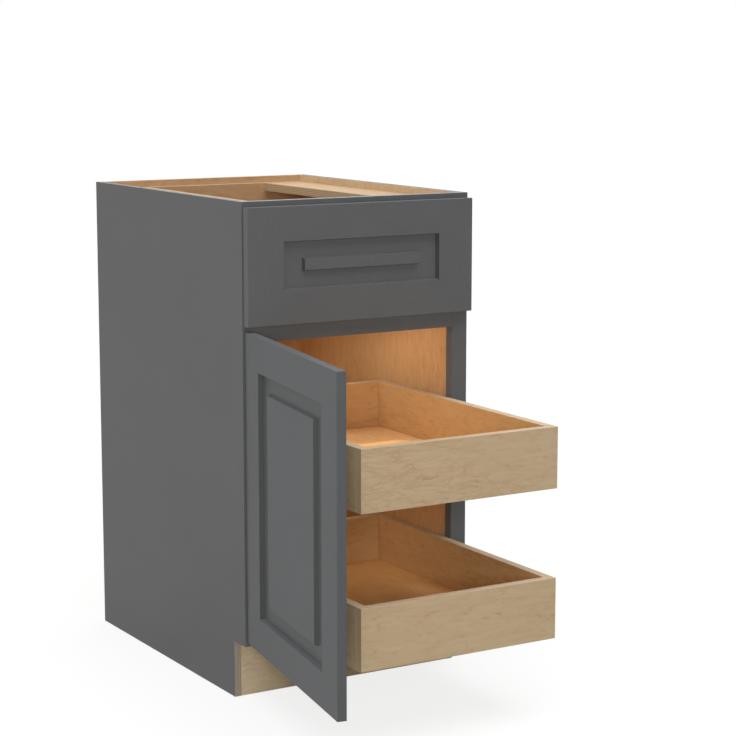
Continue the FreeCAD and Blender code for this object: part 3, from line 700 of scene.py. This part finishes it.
studio = {
    "floorGlow": 0.75,  # share of glow in the floor that is seen, the rest takes the shadow
    "floorLight": 1.08,
    "floorSeen": 0.9,
    "floorBounce": 0.40,
    "floorSize": 30,
    "floorDrop": 0.0005,
    "worldGlow": 0.06,
    "suns": {  # direction and strength
        "topLamp": ((0.05, 0.25, -1), 2.3),
        "leftLamp": ((1, -0.1, -0.3), 0.54),
        "backLamp": ((-0.65, -0.75, -0.3), 1.0),
    },
    "sunSoftness": math.radians(60),
    "frontLamp": 37.0,
    "frontPlace": (-1.75, -3.70, 1.12),
    "frontTarget": (0, -0.5, 0.45),
    "frontWidth": 0.7,
    "insideLamps": {  # depth, height, power and colour
        "upperInsideLamp": (-0.45, 0.668, 0.32, (1, 1, 1)),
        "deepInsideLamp": (-0.2, 0.66, 0.20, (1, 0.85, 0.66)),
        "lowerInsideLamp": (-0.45, 0.38, 0.125, (1, 0.74, 0.5)),
    },
    "insideWidth": 0.28,
    "insideLean": 0.2,  # they look at the floor, this far ahead
}


def whenSeen(tree, hidden, seen):
    # one value for the rays that light the cabinet, another for those that look at the surface
    path = tree.nodes.new("ShaderNodeLightPath").outputs
    looking = maths(tree, "MAXIMUM", path["Is Camera Ray"], path["Is Glossy Ray"])
    looking = maths(tree, "MAXIMUM", looking, path["Is Transmission Ray"])
    return between(tree, looking, hidden, seen)


def paleFloor():
    material = bpy.data.materials.new("PaleFloor")
    material.use_nodes = True
    tree = material.node_tree
    tree.nodes.clear()
    shade = whenSeen(tree, studio["floorBounce"], studio["floorSeen"])
    matt = addNode(tree, "BsdfDiffuse", "BSDF", {"Color": shade})
    glow = addNode(tree, "Emission", "Emission", {"Color": (1, 1, 1, 1), "Strength": studio["floorLight"]})
    glowing = whenSeen(tree, 0, studio["floorGlow"])
    mixed = addNode(tree, "MixShader", "Shader", {0: glowing, 1: matt, 2: glow})
    feed(tree, tree.nodes.new("ShaderNodeOutputMaterial"), {"Surface": mixed})
    return material


floorShape = bmesh.new()
bmesh.ops.create_grid(floorShape, x_segments=1, y_segments=1, size=studio["floorSize"])
floorMesh = bpy.data.meshes.new("studioFloor")
floorShape.to_mesh(floorMesh)
floorShape.free()
floorMesh.materials.append(paleFloor())
studioFloor = bpy.data.objects.new("studioFloor", floorMesh)
bpy.context.scene.collection.objects.link(studioFloor)
studioFloor.location.z = -studio["floorDrop"]

world = bpy.data.worlds.new("StudioWorld")
bpy.context.scene.world = world
world.use_nodes = True
worldTree = world.node_tree
worldTree.nodes.clear()
sky = addNode(worldTree, "Background", "Background", {
    "Color": (1, 1, 1, 1), "Strength": whenSeen(worldTree, studio["worldGlow"], 1.0)})
feed(worldTree, worldTree.nodes.new("ShaderNodeOutputWorld"), {"Surface": sky})


def addLamp(name, kind, power, place, towards):
    data = bpy.data.lights.new(name, kind)
    data.energy = power
    lamp = bpy.data.objects.new(name, data)
    bpy.context.scene.collection.objects.link(lamp)
    lamp.location = place
    lamp.rotation_mode = "QUATERNION"
    lamp.rotation_quaternion = towards.to_track_quat("-Z", "Y")
    return lamp


def addSoftbox(name, place, target, power, width):
    lamp = addLamp(name, "AREA", power, place, Vector(target) - Vector(place))
    lamp.data.size = width
    return lamp


for name, (towards, power) in studio["suns"].items():
    sun = addLamp(name, "SUN", power, (0, 0, 0), Vector(towards))
    sun.data.angle = studio["sunSoftness"]
addSoftbox("frontLamp", studio["frontPlace"], studio["frontTarget"], studio["frontLamp"],
           studio["frontWidth"])
# faint fill for the inside, under the drawer and under the upper tray, partly in the warm tone of the wood
for name, (depth, height, power, glow) in studio["insideLamps"].items():
    target = (0, depth - studio["insideLean"], 0)
    inside = addSoftbox(name, (0, depth, height), target, power, studio["insideWidth"])
    inside.data.color = glow
    inside.visible_camera = inside.visible_glossy = inside.visible_transmission = False

shot = {
    "place": (-1.8163, -3.6792, 1.1363),
    "azimuth": math.radians(30.89),
    "down": math.radians(8.94),
    "focal": 100.2,
    "sensor": 36,
    "farthest": 100,
}
camera = bpy.data.objects.new("photoCamera", bpy.data.cameras.new("photoCamera"))
bpy.context.scene.collection.objects.link(camera)
camera.location = shot["place"]
ahead = math.cos(shot["down"])
sight = Vector((math.sin(shot["azimuth"]) * ahead, math.cos(shot["azimuth"]) * ahead,
                -math.sin(shot["down"])))
camera.rotation_mode = "QUATERNION"
camera.rotation_quaternion = sight.to_track_quat("-Z", "Y")
camera.data.lens = shot["focal"]
camera.data.sensor_width = shot["sensor"]
camera.data.clip_end = shot["farthest"]
bpy.context.scene.camera = camera
bpy.context.scene.view_settings.view_transform = "Standard"
print("studio set")
